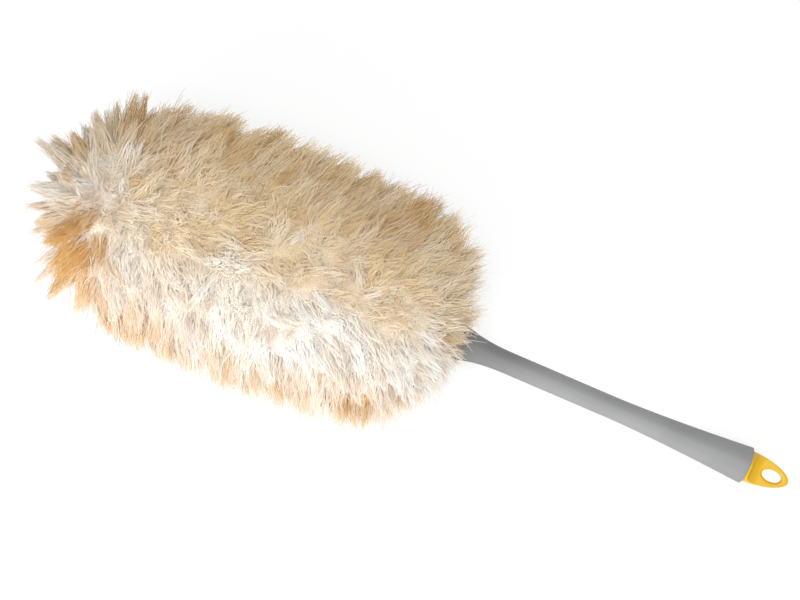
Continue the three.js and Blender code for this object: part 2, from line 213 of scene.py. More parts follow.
# The camera looks square on the duster, with the handle running down to the right
camera = {
    "frameWidth": 800, "frameHeight": 600,  # pixels
    "mouthPixel": (459.6, 342.2),
    "handleSlope": math.radians(23.24),
    "metresPerPixel": 0.0007626,
    "distance": 1.5,
    "sensor": 36,
}


def placeCamera():
    along, aside = math.cos(camera["handleSlope"]), math.sin(camera["handleSlope"])
    right = handleAxis * along + acrossAxis * aside
    up = acrossAxis * along - handleAxis * aside
    back = right.cross(up)
    offRight = camera["frameWidth"] / 2 - camera["mouthPixel"][0]
    offUp = camera["mouthPixel"][1] - camera["frameHeight"] / 2
    centre = mouthPoint + (right * offRight + up * offUp) * camera["metresPerPixel"]
    data = bpy.data.cameras.new("camera")
    data.sensor_width = camera["sensor"]
    pictureWidth = camera["frameWidth"] * camera["metresPerPixel"]
    data.lens = camera["sensor"] * camera["distance"] / pictureWidth
    cameraObject = bpy.data.objects.new("camera", data)
    scene.collection.objects.link(cameraObject)
    cameraObject.matrix_world = frameAt(centre + back * camera["distance"], right, up, back)
    scene.camera = cameraObject
    return right, up, back, centre


pictureRight, pictureUp, pictureBack, pictureCentre = placeCamera()
print("camera placed")


# White floor and plain soft light, with the key low on the picture's lower left
studio = {
    "floorSize": 12.0,
    "floorGlow": 0.78,  # of white, before any light
    "floorColor": (0.21, 0.21, 0.21),
    "plainColor": (0.8, 0.8, 0.8),  # of the floor, as it lights the duster
    "fill": 0.55,  # from all round
    "topSize": (1.2, 1.2),
    "topDistance": 1.9,
    "topPower": 23.0,
    "keyWay": (-0.62, -0.72, 0.36),  # picture right, picture up, towards the camera
    "keyDistance": 1.7,
    "keySize": (1.5, 0.9),
    "keyPower": 26.5,
}


def makeFloor():
    bm = bmesh.new()
    bmesh.ops.create_grid(bm, x_segments=1, y_segments=1, size=studio["floorSize"] / 2)
    mesh = bpy.data.meshes.new("floor")
    bm.to_mesh(mesh)
    bm.free()
    material, tree, shader = startMaterial("studio floor")
    tree.nodes.remove(shader)
    output = tree.nodes["Material Output"]
    seen = addSeen(tree)
    plain = addNode(tree, "ShaderNodeBsdfDiffuse", {"Color": (*studio["plainColor"], 1)})
    shaded = addNode(tree, "ShaderNodeBsdfDiffuse", {"Color": (*studio["floorColor"], 1)})
    glow = addNode(tree, "ShaderNodeEmission", {"Strength": studio["floorGlow"]})
    both = addNode(tree, "ShaderNodeAddShader")
    chosen = addNode(tree, "ShaderNodeMixShader")
    join(tree, shaded.outputs[0], both.inputs[0])
    join(tree, glow.outputs[0], both.inputs[1])
    join(tree, seen, chosen.inputs[0])
    join(tree, plain.outputs[0], chosen.inputs[1])
    join(tree, both.outputs[0], chosen.inputs[2])
    join(tree, chosen.outputs[0], output.inputs["Surface"])
    mesh.materials.append(material)
    floor = bpy.data.objects.new("studio_floor", mesh)
    scene.collection.objects.link(floor)


def makeWorld():
    world = bpy.data.worlds.new("studio")
    scene.world = world
    world.use_nodes = True
    tree = world.node_tree
    background = tree.nodes["Background"]
    background.inputs["Color"].default_value = (1, 1, 1, 1)
    seen = addSeen(tree)
    strength = addMath(tree, "MULTIPLY_ADD", seen, 1 - studio["fill"], studio["fill"])
    join(tree, strength, background.inputs["Strength"])


def addLamp(name, shape, size, power, way, distance):
    data = bpy.data.lights.new(name, "AREA")
    data.shape = shape
    data.size, data.size_y = size
    data.energy = power
    lamp = bpy.data.objects.new(name, data)
    scene.collection.objects.link(lamp)
    lamp.location = pictureCentre + way * distance
    lamp.rotation_mode = "QUATERNION"
    lamp.rotation_quaternion = way.to_track_quat("Z", "Y")


makeFloor()
makeWorld()
keyWay = (pictureRight * studio["keyWay"][0] + pictureUp * studio["keyWay"][1]
          + pictureBack * studio["keyWay"][2]).normalized()
addLamp("key", "RECTANGLE", studio["keySize"], studio["keyPower"], keyWay, studio["keyDistance"])
addLamp("top", "DISK", studio["topSize"], studio["topPower"], pictureBack, studio["topDistance"])
scene.view_settings.view_transform = "Standard"
print("studio lit")


# The handle: its outline and its hollow, in metres behind its mouth
handle = {
    "length": 0.238,
    "neckRadius": 0.0086,
    "flareRise": 0.0059, "flareLength": 0.046, "flarePower": 2.8,
    "swellRise": 0.0060, "swellLength": 0.112, "swellPower": 1.55,
    "wall": 0.0023, "edge": 0.0008,
    "lipRadius": 0.0100, "lipLength": 0.005, "grooveLength": 0.005, "grooveDepth": 0.0008,
    "socketRadius": 0.0068, "socketDepth": 0.070, "webThickness": 0.0025, "ventRadius": 0.0015,
    "bellDepth": 0.014,
    "sides": 96, "rings": 70, "innerRings": 24, "edgeSteps": 4, "sharpAngle": math.radians(40),
    "color": (0.245, 0.247, 0.248),
    "darkShare": 0.94, "lightShare": 1.06, "cloudScale": 18.0, "cloudDetail": 4.0,
    "grainScale": 2600.0, "grainDetail": 2.0,
    "paintedNeckShade": 0.72, "shadeStart": 0.022, "shadeEnd": 0.085,  # painted shade: darker next to the wool, as if the wool shaded the neck
    "roughness": 0.49, "roughnessSpread": 0.12, "shine": 0.35,
    "grainStrength": 0.25, "grainHeight": 0.0001,
}


def handleOutline(behind):
    flare = np.clip(1 - behind / handle["flareLength"], 0, None) ** handle["flarePower"]
    swellStart = handle["length"] - handle["swellLength"]
    swell = np.clip((behind - swellStart) / handle["swellLength"], 0, None) ** handle["swellPower"]
    return handle["neckRadius"] + handle["flareRise"] * flare + handle["swellRise"] * swell


def makeHandleMaterial():
    material, tree, shader = startMaterial("satin grey plastic")
    cloudy = addObjectNoise(tree, handle["cloudScale"], handle["cloudDetail"])
    grain = addObjectNoise(tree, handle["grainScale"], handle["grainDetail"])
    dark = tuple(part * handle["darkShare"] for part in handle["color"])
    light = tuple(part * handle["lightShare"] for part in handle["color"])
    plain = blendByNoise(tree, cloudy, dark, light)
    # Painted shade: the grey darkens towards the mouth and stands in for the wool's shadow on the
    # handle's neck
    place = addNode(tree, "ShaderNodeTexCoord")
    along = addNode(tree, "ShaderNodeVectorMath", operation="DOT_PRODUCT")
    join(tree, place.outputs["Object"], along.inputs[0])
    along.inputs[1].default_value = handleAxis
    mouthPlace = handleAxis @ mouthPoint
    behind = addNode(tree, "ShaderNodeMapRange", {
        "From Min": mouthPlace + handle["shadeStart"], "From Max": mouthPlace + handle["shadeEnd"]})
    join(tree, along.outputs["Value"], behind.inputs["Value"])
    shade = addRamp(tree, behind.outputs["Result"], [(0.0, handle["paintedNeckShade"]), (1.0, 1.0)])
    join(tree, addMix(tree, 1.0, plain, shade, blend="MULTIPLY"), shader.inputs["Base Color"])
    rough = addMath(tree, "MULTIPLY_ADD", cloudy, handle["roughnessSpread"], handle["roughness"])
    join(tree, rough, shader.inputs["Roughness"])
    shader.inputs["Specular IOR Level"].default_value = handle["shine"]
    addBump(tree, shader, grain, handle["grainStrength"], handle["grainHeight"])
    return material


def makeHandle():
    length, edge = handle["length"], handle["edge"]
    steps = handle["edgeSteps"]
    quarter = [step / steps * math.pi / 2 for step in range(steps + 1)]
    mouthRadius = float(handleOutline(edge)) - edge
    buttRadius = float(handleOutline(length - edge)) - edge
    mouth = [(edge - edge * math.cos(turn), mouthRadius + edge * math.sin(turn))
             for turn in quarter]
    butt = [(length - edge + edge * math.sin(turn), buttRadius + edge * math.cos(turn))
            for turn in quarter]
    outside = [(x, float(handleOutline(x)))
               for x in np.linspace(edge, length - edge, handle["rings"])[1:-1]]
    lipEnd = length - handle["lipLength"]
    grooveStart = lipEnd - handle["grooveLength"]
    groove = handle["lipRadius"] + handle["grooveDepth"]
    webEnd = handle["socketDepth"] + handle["webThickness"]
    hollow = [(x, float(handleOutline(x)) - handle["wall"])
              for x in np.linspace(grooveStart, webEnd, handle["innerRings"])]
    inside = [
        (length, handle["lipRadius"] + edge / 2), (length - edge / 2, handle["lipRadius"]),
        (lipEnd, handle["lipRadius"]), (lipEnd, groove), (grooveStart, groove), *hollow,
        (webEnd, handle["ventRadius"]), (handle["socketDepth"], handle["ventRadius"]),
        (handle["socketDepth"], handle["socketRadius"]),
        (handle["bellDepth"], handle["socketRadius"]),
        (0.0, float(handleOutline(0.0)) - handle["wall"] - edge),
    ]
    bm = spinProfile(mouth + outside + butt + inside, handle["sides"])
    mesh = finishMesh(bm, "handle_grip", makeHandleMaterial())
    mesh.set_sharp_from_angle(angle=handle["sharpAngle"])
    addPiece("handle_grip", mesh, "duster", "handle_plastic", "handle_shell")


makeHandle()
print("handle made")


# The hanging cap: an ogive hollowed on both sides to a flat tongue, with an oval hole
cap = {
    "gap": 0.0003,  # from the handle's butt
    "length": 0.034,
    "rootRadius": 0.0122, "taper": 1.7,
    "collar": 0.002, "tongue": 0.0054, "flatLead": 0.001,
    "holeLength": 0.0158, "holeWidth": 0.0090, "holeWall": 0.0058, "holeRound": 0.0018,
    "soften": 0.0016,
    "spigotRadius": 0.0096, "spigotLength": 0.0095,
    "collarSteep": 30,  # of the step from the collar down to the scoop
    "turns": 176, "rows": 52, "roundRows": 7, "halvings": 40, "sharpAngle": math.radians(50),
    "mergeDistance": 2e-6, "rootSlack": 1e-5,
    "color": (0.68, 0.40, 0.006),
    "deepShare": 0.9, "cloudScale": 60.0, "fineScale": 1400.0, "fineDetail": 2.0,
    "roughness": 0.29, "roughnessSpread": 0.10, "shine": 0.4,
    "fineStrength": 0.12, "fineHeight": 0.0001,
}
capStart = handle["length"] + cap["gap"]
holeMiddle = capStart + cap["length"] - cap["holeWall"] - cap["holeLength"] / 2


def capOutline(behind):
    share = np.clip((behind - capStart) / cap["length"], 0, 1)
    return cap["rootRadius"] * np.sqrt(1 - share ** cap["taper"])


# Half the cap's thickness: the round ogive, or the scoop down to the tongue where that is less
def capHeight(behind, across):
    dome = np.sqrt(np.clip(capOutline(behind) ** 2 - across ** 2, 0, None))
    flatStart = holeMiddle - cap["holeLength"] / 2 - cap["flatLead"]
    scoop = flatStart - (capStart + cap["collar"])
    before = np.clip(flatStart - behind, 0, scoop)
    hollow = cap["tongue"] / 2 + scoop - np.sqrt(scoop ** 2 - before ** 2)
    hollow = hollow + np.clip(flatStart - scoop - behind, 0, None) * cap["collarSteep"]
    blend = np.clip(0.5 + 0.5 * (hollow - dome) / cap["soften"], 0, 1)
    soft = hollow * (1 - blend) + dome * blend - cap["soften"] * blend * (1 - blend)
    return np.maximum(np.minimum(soft, dome), 0)


def makeCapMaterial():
    material, tree, shader = startMaterial("glossy yellow plastic")
    cloudy = addObjectNoise(tree, cap["cloudScale"])
    fine = addObjectNoise(tree, cap["fineScale"], cap["fineDetail"])
    deep = tuple(part * cap["deepShare"] for part in cap["color"])
    join(tree, blendByNoise(tree, cloudy, deep, cap["color"]), shader.inputs["Base Color"])
    rough = addMath(tree, "MULTIPLY_ADD", cloudy, cap["roughnessSpread"], cap["roughness"])
    join(tree, rough, shader.inputs["Roughness"])
    shader.inputs["Specular IOR Level"].default_value = cap["shine"]
    addBump(tree, shader, fine, cap["fineStrength"], cap["fineHeight"])
    return material


# Rows of spots over the cap's upper half, from the wall of its hole to its outline
def capRows():
    turns = np.arange(cap["turns"]) / cap["turns"] * 2 * math.pi
    long, wide = cap["holeLength"] / 2, cap["holeWidth"] / 2
    hole = np.stack([holeMiddle + long * np.cos(turns), wide * np.sin(turns)], axis=1)
    outwards = normal(np.stack([np.cos(turns) / long, np.sin(turns) / wide], axis=1))
    start = hole + outwards * cap["holeRound"]
    near, far = np.zeros(cap["turns"]), np.full(cap["turns"], cap["length"])
    for _ in range(cap["halvings"]):  # how far each way out of the hole goes, to the cap's outline
        middle = (near + far) / 2
        spots = start + outwards * middle[:, None]
        inside = (spots[:, 0] > capStart) & (np.abs(spots[:, 1]) < capOutline(spots[:, 0]))
        near, far = np.where(inside, middle, near), np.where(inside, far, middle)
    rows = []
    for row in range(cap["roundRows"]):
        turn = row / cap["roundRows"] * math.pi / 2
        spots = hole + outwards * cap["holeRound"] * (1 - math.cos(turn))
        drop = cap["holeRound"] * (1 - math.sin(turn))
        rows.append(np.column_stack([spots, capHeight(spots[:, 0], spots[:, 1]) - drop]))
    for row in range(cap["rows"] + 1):
        share = math.sin(row / cap["rows"] * math.pi / 2)
        spots = start + outwards * (near * share)[:, None]
        height = capHeight(spots[:, 0], spots[:, 1])
        if row == cap["rows"]:
            height = np.where(spots[:, 0] > capStart + cap["rootSlack"], 0.0, height)
        rows.append(np.column_stack([spots, height]))
    return rows


def makeCap():
    rows = capRows()
    bm = bmesh.new()
    last = len(rows) - 1
    bmesh.ops.create_grid(bm, x_segments=cap["turns"], y_segments=last, size=1)
    for vert in bm.verts:
        turn = round((vert.co.x + 1) / 2 * cap["turns"]) % cap["turns"]
        vert.co = rows[round((vert.co.y + 1) / 2 * last)][turn]
    bmesh.ops.remove_doubles(bm, verts=bm.verts, dist=cap["mergeDistance"])
    bmesh.ops.mirror(bm, geom=bm.verts[:] + bm.edges[:] + bm.faces[:], axis="Z",
                     merge_dist=mergeDistance)
    bmesh.ops.remove_doubles(bm, verts=bm.verts, dist=cap["mergeDistance"])
    holeEdges = [e for e in bm.edges
                 if e.is_boundary and e.verts[0].co.x > holeMiddle - cap["holeLength"]]
    bmesh.ops.bridge_loops(bm, edges=holeEdges)
    rootEdges = [e for e in bm.edges if e.is_boundary]
    disc = bmesh.ops.edgeloop_fill(bm, edges=rootEdges)["faces"]
    bmesh.ops.inset_region(bm, faces=disc, thickness=cap["rootRadius"] - cap["spigotRadius"],
                           use_even_offset=True)
    spigot = bmesh.ops.extrude_face_region(bm, geom=disc)["geom"]
    bmesh.ops.delete(bm, geom=disc, context="FACES")
    bmesh.ops.translate(bm, vec=(-cap["spigotLength"], 0, 0),
                        verts=[v for v in spigot if isinstance(v, bmesh.types.BMVert)])
    mesh = finishMesh(bm, "cap_eyelet", makeCapMaterial())
    mesh.set_sharp_from_angle(angle=cap["sharpAngle"])
    addPiece("cap_eyelet", mesh, "hang_loop", "cap_plastic", "hang_cap")


makeCap()
print("cap made")


# Wool colours: a strand's map says its tone across, and its root to its tip upwards in one of
# four bands, from no tan at the tip to a lot
wool = {
    "cream": (0.995, 0.965, 0.925),
    "beige": (0.87, 0.672, 0.40),
    "tan": (0.62, 0.35, 0.118),
    "paintedRootWarmth": (1.0, 0.965, 0.90),  # painted warm shade: a lock's colour is warmer low down, standing in for light that has been through much wool
    "bands": 4,
    "paintedWarmthEnd": 0.7,  # of a strand, where the painted warm shade ends
    "tanStart": 0.2,
    "tanFull": 0.7,
    "roughness": 0.8, "shine": 0.2,
    "sheen": 0.05, "sheenRoughness": 0.5,
    "bumpScale": 700.0, "bumpStrength": 0.9, "bumpHeight": 0.003,  # of the undercoat's curls
    "strandTone": 0.05,  # how much the strands of a lock differ
    "skyShade": 0.80,  # how far the wool is shaded as if it faced up
    "toneEnds": (0.02, 0.97),  # on the map, across
    "mapStart": 0.03, "mapReach": 0.94,  # of a band's height on the map
}


def makeWoolMaterial(name, bumpy=False):
    material, tree, shader = startMaterial(name)
    place = addNode(tree, "ShaderNodeUVMap", uv_map="OFBake")
    parts = addNode(tree, "ShaderNodeSeparateXYZ")
    join(tree, place.outputs["UV"], parts.inputs[0])
    banded = addMath(tree, "MULTIPLY", parts.outputs["Y"], float(wool["bands"]))
    band = addMath(tree, "FLOOR", banded)
    height = addMath(tree, "SUBTRACT", banded, band)
    tanShare = addMath(tree, "DIVIDE", band, float(wool["bands"] - 1))
    base = addRamp(tree, parts.outputs["X"], [(0.0, wool["cream"]), (1.0, wool["beige"])],
                   smooth=False)
    rise = addRamp(tree, height, [(wool["tanStart"], 0.0), (wool["tanFull"], 1.0)])
    white = (1.0, 1.0, 1.0)
    # Painted warm shade: colour warmed towards each strand's root, standing in for light scattered
    # deep between the locks
    tint = addRamp(tree, height, [(0.0, wool["paintedRootWarmth"]), (wool["paintedWarmthEnd"], white)], smooth=False)
    amount = addMath(tree, "MULTIPLY", tanShare, rise)
    tanned = addMix(tree, amount, base, wool["tan"])
    join(tree, addMix(tree, 1.0, tanned, tint, blend="MULTIPLY"), shader.inputs["Base Color"])
    shader.inputs["Roughness"].default_value = wool["roughness"]
    shader.inputs["Specular IOR Level"].default_value = wool["shine"]
    shader.inputs["Sheen Weight"].default_value = wool["sheen"]
    shader.inputs["Sheen Roughness"].default_value = wool["sheenRoughness"]
    if bumpy:
        curls = addObjectNoise(tree, wool["bumpScale"])
        addBump(tree, shader, curls, wool["bumpStrength"], wool["bumpHeight"])
    return material


# What the wool hides: the rod, the lambskin and the tacks keep their solids
hidden = {
    "woodDark": (0.44, 0.27, 0.12), "woodLight": (0.66, 0.46, 0.25),
    "grain": (6.0, 160.0, 160.0), "grainDetail": 5.0,
    "woodRoughness": 0.6, "woodStrength": 0.3, "woodHeight": 0.0004,
    "skinDark": (0.42, 0.32, 0.20), "skinLight": (0.66, 0.55, 0.40),
    "poreScale": 700.0, "poreDetail": 4.0,
    "skinRoughness": 0.85, "skinStrength": 0.5, "skinHeight": 0.0005,
    "steel": (0.55, 0.55, 0.57), "scratchScale": 900.0,
    "steelRoughness": 0.2, "steelRoughnessSpread": 0.25,
}


def dressHidden(prefixes, material):
    for name, node in nodes.items():
        if name.startswith(prefixes):
            node.data.materials.clear()
            node.data.materials.append(material)


def makeWoodMaterial():
    material, tree, shader = startMaterial("beech dowel")
    grain = addObjectNoise(tree, 1.0, hidden["grainDetail"], hidden["grain"])
    join(tree, blendByNoise(tree, grain, hidden["woodDark"], hidden["woodLight"]),
         shader.inputs["Base Color"])
    shader.inputs["Roughness"].default_value = hidden["woodRoughness"]
    addBump(tree, shader, grain, hidden["woodStrength"], hidden["woodHeight"])
    return material


def makeSkinMaterial():
    material, tree, shader = startMaterial("lambskin")
    pores = addObjectNoise(tree, hidden["poreScale"], hidden["poreDetail"])
    join(tree, blendByNoise(tree, pores, hidden["skinDark"], hidden["skinLight"]),
         shader.inputs["Base Color"])
    shader.inputs["Roughness"].default_value = hidden["skinRoughness"]
    addBump(tree, shader, pores, hidden["skinStrength"], hidden["skinHeight"])
    return material


def makeSteelMaterial():
    material, tree, shader = startMaterial("tack steel")
    shader.inputs["Base Color"].default_value = (*hidden["steel"], 1)
    shader.inputs["Metallic"].default_value = 1.0
    scratches = addObjectNoise(tree, hidden["scratchScale"])
    rough = addMath(tree, "MULTIPLY_ADD", scratches, hidden["steelRoughnessSpread"],
                    hidden["steelRoughness"])
    join(tree, rough, shader.inputs["Roughness"])
    return material


dressHidden(("core_rod",), makeWoodMaterial())
dressHidden(("pelt_strip", "tip_pelt"), makeSkinMaterial())
dressHidden(("tip_tack", "strip_tack"), makeSteelMaterial())

woolMaterial = makeWoolMaterial("lambswool locks")
undercoatMaterial = makeWoolMaterial("lambswool undercoat", bumpy=True)


# The wool's outline, from the mouth to the tip
head = {
    "length": 0.352,
    "outline": [  # ahead of the mouth, radius to the locks' tips
        (-0.004, 0.015), (-0.002, 0.028), (0.004, 0.040), (0.010, 0.052), (0.015, 0.065),
        (0.021, 0.076), (0.029, 0.083), (0.040, 0.088), (0.054, 0.092), (0.068, 0.095),
        (0.085, 0.0965), (0.107, 0.0970), (0.137, 0.0990), (0.168, 0.0985), (0.190, 0.0975),
        (0.214, 0.0960), (0.244, 0.0940), (0.259, 0.0905), (0.275, 0.0870), (0.290, 0.0820),
        (0.305, 0.0750), (0.320, 0.0625), (0.335, 0.0440), (0.346, 0.024), (0.352, 0.0),
    ],
    "sag": 0.006,  # of the wool's middle off the rod, to one side, where the nose starts
    "noseStart": 0.25,
    "rodFront": 0.2813,
    "boreRadius": 0.0094,
    "boreFront": 0.2855,
    "spineStart": 0.012,  # locks grow from the rod between here and its front
    "pressWays": (0.35, 1.0, 0.0),  # how wool pressed on the floor gives way: along, across, up
    "pressFade": 0.01,  # nearer to the rod's middle than this it gives way less
    "shadeEnds": (0.05, 0.262),  # the stretch of the rod that the wool's shading turns about
}
outlineAhead = np.array([spot[0] for spot in head["outline"]])
outlineRadius = np.array([spot[1] for spot in head["outline"]])


def sagAt(ahead):
    return head["sag"] * np.clip(ahead / head["noseStart"], 0, 1)


def aroundHead(ahead, radius, angle):
    sideways = radius * np.sin(angle) - sagAt(ahead)
    return np.stack([-ahead, sideways, radius * np.cos(angle)], axis=-1)


def pressOnFloor(spots, rest, spread):
    short = np.maximum(rest - heightOverFloor(spots), 0)[..., None]
    out = normal(spots * np.array(head["pressWays"]), head["pressFade"])
    return spots + short * np.array(floorUp) + out * short * spread


# Smooth unevenness over the wool, the same on each run: how long its waves are, and its seed
waves = {
    "meeting": (0.05, 3), "tone": (0.03, 8),
    "lumps": (0.022, 5), "undercoatTone": (0.010, 9), "undercoatHeight": (0.012, 12),
    "leanFirst": (0.045, 31), "leanSecond": (0.045, 32), "reach": (0.055, 21),
}
waveCount = 7
waveSpread = (0.6, 1.6)


def waver(spots, kind):
    length, seed = waves[kind]
    draw = np.random.default_rng(seed)
    total = np.zeros(spots.shape[:-1])
    for _ in range(waveCount):
        way = normal(draw.normal(size=3))
        way = way * 2 * math.pi / length * draw.uniform(*waveSpread)
        total = total + np.sin(spots @ way + draw.uniform(0, 2 * math.pi))
    return total / math.sqrt(waveCount)


# Where the wool is tan at its tips: ahead of the mouth, across, how far it spreads, how strong
tanPatches = [
    (0.291, -0.054, 0.033, 1.25),
    (0.262, -0.086, 0.028, 0.4),
    (0.215, -0.092, 0.036, 0.5),
    (0.150, -0.096, 0.026, 0.38),
    (0.100, -0.098, 0.030, 0.42),
    (0.050, -0.084, 0.034, 0.42),
    (0.272, 0.074, 0.026, 0.5),
    (0.182, 0.093, 0.036, 0.2),
    (0.070, 0.091, 0.040, 0.5),
    (0.322, 0.004, 0.014, 0.45),
]
# In the same way, where it is more beige or whiter than its surroundings
tonePatches = [
    (0.217, -0.022, 0.034, 0.38),
    (0.300, 0.018, 0.034, -0.36),
    (0.270, 0.045, 0.030, -0.15),
]


def spineSpots(ahead):
    return aroundHead(ahead, np.zeros_like(ahead), np.zeros_like(ahead))


# Beige on the picture's upper half, cream on the lower: partly the wool's own colour, partly
# painted shade on the side away from the key light
tones = {
    "lowest": 0.045, "rise": 0.785,
    "meeting": -0.008,  # across, where the halves meet, in a line that bends and is soft
    "bend": 0.012, "softness": 0.017,
    "clouds": 0.07,
}


def toneAt(ahead, spots):
    above = spots[:, 1] - tones["meeting"] + waver(spots, "meeting") * tones["bend"]
    upperHalf = 1 / (1 + np.exp(-above / tones["softness"]))
    tone = tones["lowest"] + tones["rise"] * upperHalf + waver(spots, "tone") * tones["clouds"]
    for patchAhead, patchAcross, spread, strength in tonePatches:
        away = np.hypot(ahead - patchAhead, spots[:, 1] - patchAcross)
        tone = tone + strength * np.exp(-(away / spread) ** 2)
    return tone, upperHalf


# Wool is shaded by the soft form that it makes together, and partly as if it faced up
def softNormals(ahead, spots):
    away = normal(spots - spineSpots(np.clip(ahead, *head["shadeEnds"])))
    return normal(away + np.array(floorUp) * wool["skyShade"])


undercoat = {
    "depth": 0.023,  # under the locks' tips
    "noseDepth": 0.029,
    "rumpDepth": 0.018,
    "rumpShift": 0.012,  # further ahead, under the wool's rear face
    "nose": (0.22, 0.13), "rump": (-0.045, 0.04),  # start and length, the rump's counted backwards
    "start": 0.001,
    "wall": 0.003,  # round the bore, where it is thinnest
    "closing": 0.03,  # its rounded front
    "sides": 120,
    "rings": 96,
    "lumps": 0.0025,
    "evenWall": 0.004, "freeOver": 0.01,  # round the bore it has no lumps
    "rest": 0.002,
    "nearest": 0.01,  # to the rod's middle that a colour is looked up
    "toneSpread": 0.04,
    "height": 0.45, "heightSpread": 0.10, "heightEnds": (0.05, 0.7),  # on the map
}


def undercoatRadius(ahead):
    nose = shareOf(ahead, *undercoat["nose"])
    rump = shareOf(-ahead, *undercoat["rump"])
    depth = undercoat["depth"] + (undercoat["noseDepth"] - undercoat["depth"]) * nose
    depth = depth + (undercoat["rumpDepth"] - depth) * rump
    return np.interp(ahead - undercoat["rumpShift"] * rump, outlineAhead, outlineRadius) - depth


def makeUndercoat():
    front = head["length"] - undercoat["noseDepth"]
    stations = np.linspace(undercoat["start"], front, undercoat["rings"])
    radii = np.maximum(undercoatRadius(stations), head["boreRadius"] + undercoat["wall"])
    radii = radii * np.sqrt(shareOf(-stations, -front, undercoat["closing"]))
    outside = [(-station, radius) for station, radius in zip(stations, radii)]
    bore = [(-head["boreFront"], 0.0), (-head["boreFront"], head["boreRadius"]),
            (-stations[0], head["boreRadius"])]
    bm = spinProfile(outside + bore, undercoat["sides"])
    spots = np.array([v.co for v in bm.verts])
    away = spots * np.array([0, 1, 1])
    reach = np.linalg.norm(away, axis=1, keepdims=True)
    free = shareOf(reach - head["boreRadius"], undercoat["evenWall"], undercoat["freeOver"])
    lump = waver(spots, "lumps")[:, None] * undercoat["lumps"]
    spots = spots + normal(away) * lump * free
    spots[:, 1] -= sagAt(-spots[:, 0]) * free[:, 0]
    spots = pressOnFloor(spots, undercoat["rest"], 0.0)
    for vert, spot in zip(bm.verts, spots):
        vert.co = spot
    mesh = finishMesh(bm, "wool_undercoat", undercoatMaterial)
    ahead = -spots[:, 0]
    # its tone is that of the locks' tips over it
    stretch = np.interp(ahead, outlineAhead, outlineRadius) / np.maximum(
        np.linalg.norm(spots[:, 1:], axis=1), undercoat["nearest"])
    tone, _ = toneAt(ahead, spots * np.stack([np.ones_like(stretch), stretch, stretch], axis=1))
    across = tone + waver(spots, "undercoatTone") * undercoat["toneSpread"]
    across = np.clip(across, *wool["toneEnds"])
    upwards = undercoat["height"] + waver(spots, "undercoatHeight") * undercoat["heightSpread"]
    upwards = np.clip(upwards, *undercoat["heightEnds"]) / wool["bands"]
    corners = np.empty(len(mesh.loops), np.int32)
    mesh.loops.foreach_get("vertex_index", corners)
    addMap(mesh, across[corners], upwards[corners])
    setNormals(mesh, softNormals(ahead, spots))
    addPiece("wool_undercoat", mesh, "duster", "fleece_wool",
             "fleece_tip", "fleece_front", "fleece_middle", "fleece_rear")


makeUndercoat()
print("undercoat made")


endStep = 0.03  # on the map, from one corner of a cone's end to the next


# One shape for all the strands and one for the locks' soft bodies: a long cone in joints
def makeConePattern(sides, joints):
    bm = bmesh.new()
    bmesh.ops.create_cone(bm, cap_ends=True, cap_tris=False, segments=sides,
                          radius1=1, radius2=1, depth=1)
    longEdges = [e for e in bm.edges if abs(e.verts[0].co.z - e.verts[1].co.z) > 0.5]
    bmesh.ops.subdivide_edges(bm, edges=longEdges, cuts=joints - 1)
    bm.verts.ensure_lookup_table()
    pattern = {
        "joints": joints,
        "height": np.array([v.co.z + 0.5 for v in bm.verts]),
        "angle": np.array([math.atan2(v.co.y, v.co.x) for v in bm.verts]),
        "reach": np.array([math.hypot(v.co.x, v.co.y) for v in bm.verts]),
        "faces": [], "map": [],
    }
    for face in bm.faces:
        corners = [v.index for v in face.verts]
        turns = [(pattern["angle"][i] / (2 * math.pi)) % 1 for i in corners]
        if max(turns) - min(turns) > 0.5:
            turns = [turn + 1 if turn < 0.5 else turn for turn in turns]
        heights = [pattern["height"][i] for i in corners]
        if max(heights) == min(heights):  # an end face gets a little height on the map
            heights = [abs(height - endStep * place) for place, height in enumerate(heights)]
        pattern["faces"].append(corners)
        pattern["map"] += list(zip(turns, heights))
    bm.free()
    return pattern


